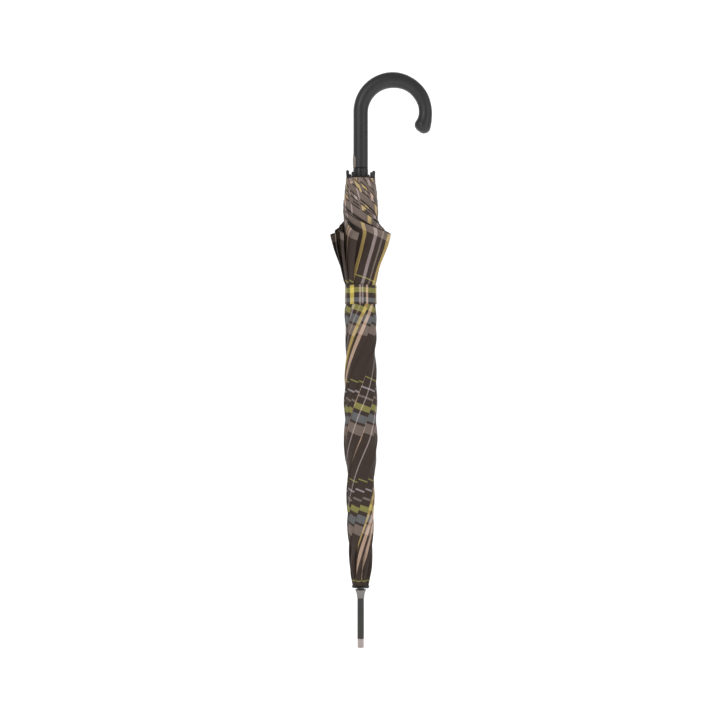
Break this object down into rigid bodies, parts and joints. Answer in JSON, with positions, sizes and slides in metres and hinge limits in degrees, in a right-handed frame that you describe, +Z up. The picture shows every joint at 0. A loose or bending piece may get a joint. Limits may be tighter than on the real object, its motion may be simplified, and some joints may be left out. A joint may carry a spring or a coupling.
{
  "type": "stick umbrella",
  "caption": "Closed stick umbrella with a crook handle, its canopy wound round the shaft and held by a strap, on ribs that open with the runner.",
  "frame": {"origin": "centre of the ferrule tip's end face, on the shaft's axis", "axes": "+Z up the shaft towards the handle, +X the way the crook bends, so -X is the push button's side"},
  "size_m": [0.1526, 0.091, 0.8629],
  "materials": {
    "handle_plastic": "satin",
    "button_plastic": "satin",
    "bezel_plastic": "satin",
    "black_plastic": "satin",
    "shaft_steel": "satin",
    "spring_steel": "satin",
    "rib_steel": "satin",
    "rib_fibre": "satin",
    "collar_metal": "brushed",
    "tip_metal": "satin",
    "disc_cloth": "woven",
    "canopy_cloth": "woven"
  },
  "bodies": {
    "frame": {"handle": "handle_plastic", "button_bezel": "bezel_plastic", "latch_pin": "spring_steel", "latch_spring": "spring_steel", "shaft": "shaft_steel", "opening_spring": "spring_steel", "spring_anchor": "black_plastic", "open_stop": "black_plastic", "crown_hub": "black_plastic", "crown_wire": "spring_steel", "ferrule_collar": "collar_metal", "ferrule_tip": "tip_metal", "crown_disc": "disc_cloth"},
    "runner": {"runner": "black_plastic", "spring_follower": "black_plastic", "drive_pin": "spring_steel"},
    "push_button": {"push_button": "button_plastic"},
    "latch_lever": {"latch_lever": "spring_steel"},
    "rib_inner_1": {"rib_inner_1": "rib_steel"},
    "rib_outer_1": {"rib_outer_1": "rib_fibre"},
    "stretcher_1": {"stretcher_1": "rib_steel"},
    "gore_inner_1": {"gore_inner_1": "canopy_cloth"},
    "gore_outer_1": {"gore_outer_1": "canopy_cloth"},
    "rib_inner_2": {"rib_inner_2": "rib_steel"},
    "rib_outer_2": {"rib_outer_2": "rib_fibre"},
    "stretcher_2": {"stretcher_2": "rib_steel"},
    "gore_inner_2": {"gore_inner_2": "canopy_cloth"},
    "gore_outer_2": {"gore_outer_2": "canopy_cloth"},
    "rib_inner_3": {"rib_inner_3": "rib_steel"},
    "rib_outer_3": {"rib_outer_3": "rib_fibre"},
    "stretcher_3": {"stretcher_3": "rib_steel"},
    "gore_inner_3": {"gore_inner_3": "canopy_cloth"},
    "gore_outer_3": {"gore_outer_3": "canopy_cloth", "closure_strap": "canopy_cloth", "strap_fastener": "black_plastic"},
    "rib_inner_4": {"rib_inner_4": "rib_steel"},
    "rib_outer_4": {"rib_outer_4": "rib_fibre"},
    "stretcher_4": {"stretcher_4": "rib_steel"},
    "gore_inner_4": {"gore_inner_4": "canopy_cloth"},
    "gore_outer_4": {"gore_outer_4": "canopy_cloth"},
    "rib_inner_5": {"rib_inner_5": "rib_steel"},
    "rib_outer_5": {"rib_outer_5": "rib_fibre"},
    "stretcher_5": {"stretcher_5": "rib_steel"},
    "gore_inner_5": {"gore_inner_5": "canopy_cloth"},
    "gore_outer_5": {"gore_outer_5": "canopy_cloth"},
    "rib_inner_6": {"rib_inner_6": "rib_steel"},
    "rib_outer_6": {"rib_outer_6": "rib_fibre"},
    "stretcher_6": {"stretcher_6": "rib_steel"},
    "gore_inner_6": {"gore_inner_6": "canopy_cloth"},
    "gore_outer_6": {"gore_outer_6": "canopy_cloth"},
    "rib_inner_7": {"rib_inner_7": "rib_steel"},
    "rib_outer_7": {"rib_outer_7": "rib_fibre"},
    "stretcher_7": {"stretcher_7": "rib_steel"},
    "gore_inner_7": {"gore_inner_7": "canopy_cloth"},
    "gore_outer_7": {"gore_outer_7": "canopy_cloth"},
    "rib_inner_8": {"rib_inner_8": "rib_steel"},
    "rib_outer_8": {"rib_outer_8": "rib_fibre"},
    "stretcher_8": {"stretcher_8": "rib_steel"},
    "gore_inner_8": {"gore_inner_8": "canopy_cloth"},
    "gore_outer_8": {"gore_outer_8": "canopy_cloth"}
  },
  "joints": [
    {"name": "runner_slide", "type": "slide", "parent": "frame", "child": "runner", "axis": [0, 0, -1], "range_m": [0, 0.435], "deforming": ["opening_spring", "closure_strap"]},
    {"name": "button_press", "type": "slide", "parent": "frame", "child": "push_button", "axis": [1, 0, 0], "range_m": [0, 0.0015], "stiffness_N_per_m": 1500, "springref_m": -0.0015},
    {"name": "latch_turn", "type": "hinge", "parent": "frame", "child": "latch_lever", "pos_m": [-0.0028, 0, 0.77], "axis": [0, -1, 0], "range_deg": [0, 2.1]},
    {"name": "rib_swing_1", "type": "hinge", "parent": "frame", "child": "rib_inner_1", "pos_m": [0.00886, 0.00156, 0.098], "axis": [-0.1736, 0.9848, 0], "range_deg": [0, 75.54]},
    {"name": "rib_flex_1", "type": "hinge", "parent": "rib_inner_1", "child": "rib_outer_1", "pos_m": [0.01207, 0.00213, 0.393], "axis": [0.1736, -0.9848, 0], "range_deg": [0, 22.02]},
    {"name": "stretcher_fold_1", "type": "hinge", "parent": "rib_inner_1", "child": "stretcher_1", "pos_m": [0.00886, 0.00156, 0.388], "axis": [0.1736, -0.9848, 0], "range_deg": [0, 151.06]},
    {"name": "gore_unfold_1", "type": "hinge", "parent": "rib_inner_1", "child": "gore_inner_1", "pos_m": [-0.03633, -0.02315, 0.0602], "axis": [-0.6859, -0.4369, -0.582], "range_deg": [0, 54.23]},
    {"name": "hem_unfold_1", "type": "hinge", "parent": "rib_outer_1", "child": "gore_outer_1", "pos_m": [-0.01118, -0.00712, 0.02846], "axis": [-0.7645, -0.487, -0.4223], "range_deg": [0, 39.71]},
    {"name": "rib_swing_2", "type": "hinge", "parent": "frame", "child": "rib_inner_2", "pos_m": [0.00516, 0.00737, 0.098], "axis": [-0.8192, 0.5736, 0], "range_deg": [0, 75.54]},
    {"name": "rib_flex_2", "type": "hinge", "parent": "rib_inner_2", "child": "rib_outer_2", "pos_m": [0.00703, 0.01004, 0.393], "axis": [0.8192, -0.5736, 0], "range_deg": [0, 22.02]},
    {"name": "stretcher_fold_2", "type": "hinge", "parent": "rib_inner_2", "child": "stretcher_2", "pos_m": [0.00516, 0.00737, 0.388], "axis": [0.8192, -0.5736, 0], "range_deg": [0, 151.06]},
    {"name": "gore_unfold_2", "type": "hinge", "parent": "rib_inner_2", "child": "gore_inner_2", "pos_m": [-0.00932, -0.04206, 0.0602], "axis": [-0.176, -0.7939, -0.582], "range_deg": [0, 54.23]},
    {"name": "hem_unfold_2", "type": "hinge", "parent": "rib_outer_2", "child": "gore_outer_2", "pos_m": [-0.00287, -0.01294, 0.02846], "axis": [-0.1962, -0.885, -0.4223], "range_deg": [0, 39.71]},
    {"name": "rib_swing_3", "type": "hinge", "parent": "frame", "child": "rib_inner_3", "pos_m": [-0.00156, 0.00886, 0.098], "axis": [-0.9848, -0.1736, 0], "range_deg": [0, 75.54]},
    {"name": "rib_flex_3", "type": "hinge", "parent": "rib_inner_3", "child": "rib_outer_3", "pos_m": [-0.00213, 0.01207, 0.393], "axis": [0.9848, 0.1736, 0], "range_deg": [0, 22.02]},
    {"name": "stretcher_fold_3", "type": "hinge", "parent": "rib_inner_3", "child": "stretcher_3", "pos_m": [-0.00156, 0.00886, 0.388], "axis": [0.9848, 0.1736, 0], "range_deg": [0, 151.06]},
    {"name": "gore_unfold_3", "type": "hinge", "parent": "rib_inner_3", "child": "gore_inner_3", "pos_m": [0.02315, -0.03633, 0.0602], "axis": [0.4369, -0.6859, -0.582], "range_deg": [0, 54.23]},
    {"name": "hem_unfold_3", "type": "hinge", "parent": "rib_outer_3", "child": "gore_outer_3", "pos_m": [0.00712, -0.01118, 0.02846], "axis": [0.487, -0.7645, -0.4223], "range_deg": [0, 39.71]},
    {"name": "rib_swing_4", "type": "hinge", "parent": "frame", "child": "rib_inner_4", "pos_m": [-0.00737, 0.00516, 0.098], "axis": [-0.5736, -0.8192, 0], "range_deg": [0, 75.54]},
    {"name": "rib_flex_4", "type": "hinge", "parent": "rib_inner_4", "child": "rib_outer_4", "pos_m": [-0.01004, 0.00703, 0.393], "axis": [0.5736, 0.8192, 0], "range_deg": [0, 22.02]},
    {"name": "stretcher_fold_4", "type": "hinge", "parent": "rib_inner_4", "child": "stretcher_4", "pos_m": [-0.00737, 0.00516, 0.388], "axis": [0.5736, 0.8192, 0], "range_deg": [0, 151.06]},
    {"name": "gore_unfold_4", "type": "hinge", "parent": "rib_inner_4", "child": "gore_inner_4", "pos_m": [0.04206, -0.00932, 0.0602], "axis": [0.7939, -0.176, -0.582], "range_deg": [0, 54.23]},
    {"name": "hem_unfold_4", "type": "hinge", "parent": "rib_outer_4", "child": "gore_outer_4", "pos_m": [0.01294, -0.00287, 0.02846], "axis": [0.885, -0.1962, -0.4223], "range_deg": [0, 39.71]},
    {"name": "rib_swing_5", "type": "hinge", "parent": "frame", "child": "rib_inner_5", "pos_m": [-0.00886, -0.00156, 0.098], "axis": [0.1736, -0.9848, 0], "range_deg": [0, 75.54]},
    {"name": "rib_flex_5", "type": "hinge", "parent": "rib_inner_5", "child": "rib_outer_5", "pos_m": [-0.01207, -0.00213, 0.393], "axis": [-0.1736, 0.9848, 0], "range_deg": [0, 22.02]},
    {"name": "stretcher_fold_5", "type": "hinge", "parent": "rib_inner_5", "child": "stretcher_5", "pos_m": [-0.00886, -0.00156, 0.388], "axis": [-0.1736, 0.9848, 0], "range_deg": [0, 151.06]},
    {"name": "gore_unfold_5", "type": "hinge", "parent": "rib_inner_5", "child": "gore_inner_5", "pos_m": [0.03633, 0.02315, 0.0602], "axis": [0.6859, 0.4369, -0.582], "range_deg": [0, 54.23]},
    {"name": "hem_unfold_5", "type": "hinge", "parent": "rib_outer_5", "child": "gore_outer_5", "pos_m": [0.01118, 0.00712, 0.02846], "axis": [0.7645, 0.487, -0.4223], "range_deg": [0, 39.71]},
    {"name": "rib_swing_6", "type": "hinge", "parent": "frame", "child": "rib_inner_6", "pos_m": [-0.00516, -0.00737, 0.098], "axis": [0.8192, -0.5736, 0], "range_deg": [0, 75.54]},
    {"name": "rib_flex_6", "type": "hinge", "parent": "rib_inner_6", "child": "rib_outer_6", "pos_m": [-0.00703, -0.01004, 0.393], "axis": [-0.8192, 0.5736, 0], "range_deg": [0, 22.02]},
    {"name": "stretcher_fold_6", "type": "hinge", "parent": "rib_inner_6", "child": "stretcher_6", "pos_m": [-0.00516, -0.00737, 0.388], "axis": [-0.8192, 0.5736, 0], "range_deg": [0, 151.06]},
    {"name": "gore_unfold_6", "type": "hinge", "parent": "rib_inner_6", "child": "gore_inner_6", "pos_m": [0.00932, 0.04206, 0.0602], "axis": [0.176, 0.7939, -0.582], "range_deg": [0, 54.23]},
    {"name": "hem_unfold_6", "type": "hinge", "parent": "rib_outer_6", "child": "gore_outer_6", "pos_m": [0.00287, 0.01294, 0.02846], "axis": [0.1962, 0.885, -0.4223], "range_deg": [0, 39.71]},
    {"name": "rib_swing_7", "type": "hinge", "parent": "frame", "child": "rib_inner_7", "pos_m": [0.00156, -0.00886, 0.098], "axis": [0.9848, 0.1736, 0], "range_deg": [0, 75.54]},
    {"name": "rib_flex_7", "type": "hinge", "parent": "rib_inner_7", "child": "rib_outer_7", "pos_m": [0.00213, -0.01207, 0.393], "axis": [-0.9848, -0.1736, 0], "range_deg": [0, 22.02]},
    {"name": "stretcher_fold_7", "type": "hinge", "parent": "rib_inner_7", "child": "stretcher_7", "pos_m": [0.00156, -0.00886, 0.388], "axis": [-0.9848, -0.1736, 0], "range_deg": [0, 151.06]},
    {"name": "gore_unfold_7", "type": "hinge", "parent": "rib_inner_7", "child": "gore_inner_7", "pos_m": [-0.02315, 0.03633, 0.0602], "axis": [-0.4369, 0.6859, -0.582], "range_deg": [0, 54.23]},
    {"name": "hem_unfold_7", "type": "hinge", "parent": "rib_outer_7", "child": "gore_outer_7", "pos_m": [-0.00712, 0.01118, 0.02846], "axis": [-0.487, 0.7645, -0.4223], "range_deg": [0, 39.71]},
    {"name": "rib_swing_8", "type": "hinge", "parent": "frame", "child": "rib_inner_8", "pos_m": [0.00737, -0.00516, 0.098], "axis": [0.5736, 0.8192, 0], "range_deg": [0, 75.54]},
    {"name": "rib_flex_8", "type": "hinge", "parent": "rib_inner_8", "child": "rib_outer_8", "pos_m": [0.01004, -0.00703, 0.393], "axis": [-0.5736, -0.8192, 0], "range_deg": [0, 22.02]},
    {"name": "stretcher_fold_8", "type": "hinge", "parent": "rib_inner_8", "child": "stretcher_8", "pos_m": [0.00737, -0.00516, 0.388], "axis": [-0.5736, -0.8192, 0], "range_deg": [0, 151.06]},
    {"name": "gore_unfold_8", "type": "hinge", "parent": "rib_inner_8", "child": "gore_inner_8", "pos_m": [-0.04206, 0.00932, 0.0602], "axis": [-0.7939, 0.176, -0.582], "range_deg": [0, 54.23]},
    {"name": "hem_unfold_8", "type": "hinge", "parent": "rib_outer_8", "child": "gore_outer_8", "pos_m": [-0.01294, 0.00287, 0.02846], "axis": [-0.885, 0.1962, -0.4223], "range_deg": [0, 39.71]}
  ],
  "couplings": [
    {"joint": "latch_turn", "follows": "button_press", "rad_per_m": 24.39},
    {"joint": "rib_swing_1", "follows": "runner_slide", "rad_per_m": 3.0302},
    {"joint": "rib_flex_1", "follows": "runner_slide", "rad_per_m": 0.8827},
    {"joint": "stretcher_fold_1", "follows": "runner_slide", "rad_per_m": 6.0603},
    {"joint": "gore_unfold_1", "follows": "runner_slide", "rad_per_m": 2.1751},
    {"joint": "hem_unfold_1", "follows": "runner_slide", "rad_per_m": 1.5924},
    {"joint": "rib_swing_2", "follows": "runner_slide", "rad_per_m": 3.0302},
    {"joint": "rib_flex_2", "follows": "runner_slide", "rad_per_m": 0.8827},
    {"joint": "stretcher_fold_2", "follows": "runner_slide", "rad_per_m": 6.0603},
    {"joint": "gore_unfold_2", "follows": "runner_slide", "rad_per_m": 2.1751},
    {"joint": "hem_unfold_2", "follows": "runner_slide", "rad_per_m": 1.5924},
    {"joint": "rib_swing_3", "follows": "runner_slide", "rad_per_m": 3.0302},
    {"joint": "rib_flex_3", "follows": "runner_slide", "rad_per_m": 0.8827},
    {"joint": "stretcher_fold_3", "follows": "runner_slide", "rad_per_m": 6.0603},
    {"joint": "gore_unfold_3", "follows": "runner_slide", "rad_per_m": 2.1751},
    {"joint": "hem_unfold_3", "follows": "runner_slide", "rad_per_m": 1.5924},
    {"joint": "rib_swing_4", "follows": "runner_slide", "rad_per_m": 3.0302},
    {"joint": "rib_flex_4", "follows": "runner_slide", "rad_per_m": 0.8827},
    {"joint": "stretcher_fold_4", "follows": "runner_slide", "rad_per_m": 6.0603},
    {"joint": "gore_unfold_4", "follows": "runner_slide", "rad_per_m": 2.1751},
    {"joint": "hem_unfold_4", "follows": "runner_slide", "rad_per_m": 1.5924},
    {"joint": "rib_swing_5", "follows": "runner_slide", "rad_per_m": 3.0302},
    {"joint": "rib_flex_5", "follows": "runner_slide", "rad_per_m": 0.8827},
    {"joint": "stretcher_fold_5", "follows": "runner_slide", "rad_per_m": 6.0603},
    {"joint": "gore_unfold_5", "follows": "runner_slide", "rad_per_m": 2.1751},
    {"joint": "hem_unfold_5", "follows": "runner_slide", "rad_per_m": 1.5924},
    {"joint": "rib_swing_6", "follows": "runner_slide", "rad_per_m": 3.0302},
    {"joint": "rib_flex_6", "follows": "runner_slide", "rad_per_m": 0.8827},
    {"joint": "stretcher_fold_6", "follows": "runner_slide", "rad_per_m": 6.0603},
    {"joint": "gore_unfold_6", "follows": "runner_slide", "rad_per_m": 2.1751},
    {"joint": "hem_unfold_6", "follows": "runner_slide", "rad_per_m": 1.5924},
    {"joint": "rib_swing_7", "follows": "runner_slide", "rad_per_m": 3.0302},
    {"joint": "rib_flex_7", "follows": "runner_slide", "rad_per_m": 0.8827},
    {"joint": "stretcher_fold_7", "follows": "runner_slide", "rad_per_m": 6.0603},
    {"joint": "gore_unfold_7", "follows": "runner_slide", "rad_per_m": 2.1751},
    {"joint": "hem_unfold_7", "follows": "runner_slide", "rad_per_m": 1.5924},
    {"joint": "rib_swing_8", "follows": "runner_slide", "rad_per_m": 3.0302},
    {"joint": "rib_flex_8", "follows": "runner_slide", "rad_per_m": 0.8827},
    {"joint": "stretcher_fold_8", "follows": "runner_slide", "rad_per_m": 6.0603},
    {"joint": "gore_unfold_8", "follows": "runner_slide", "rad_per_m": 2.1751},
    {"joint": "hem_unfold_8", "follows": "runner_slide", "rad_per_m": 1.5924}
  ]
}
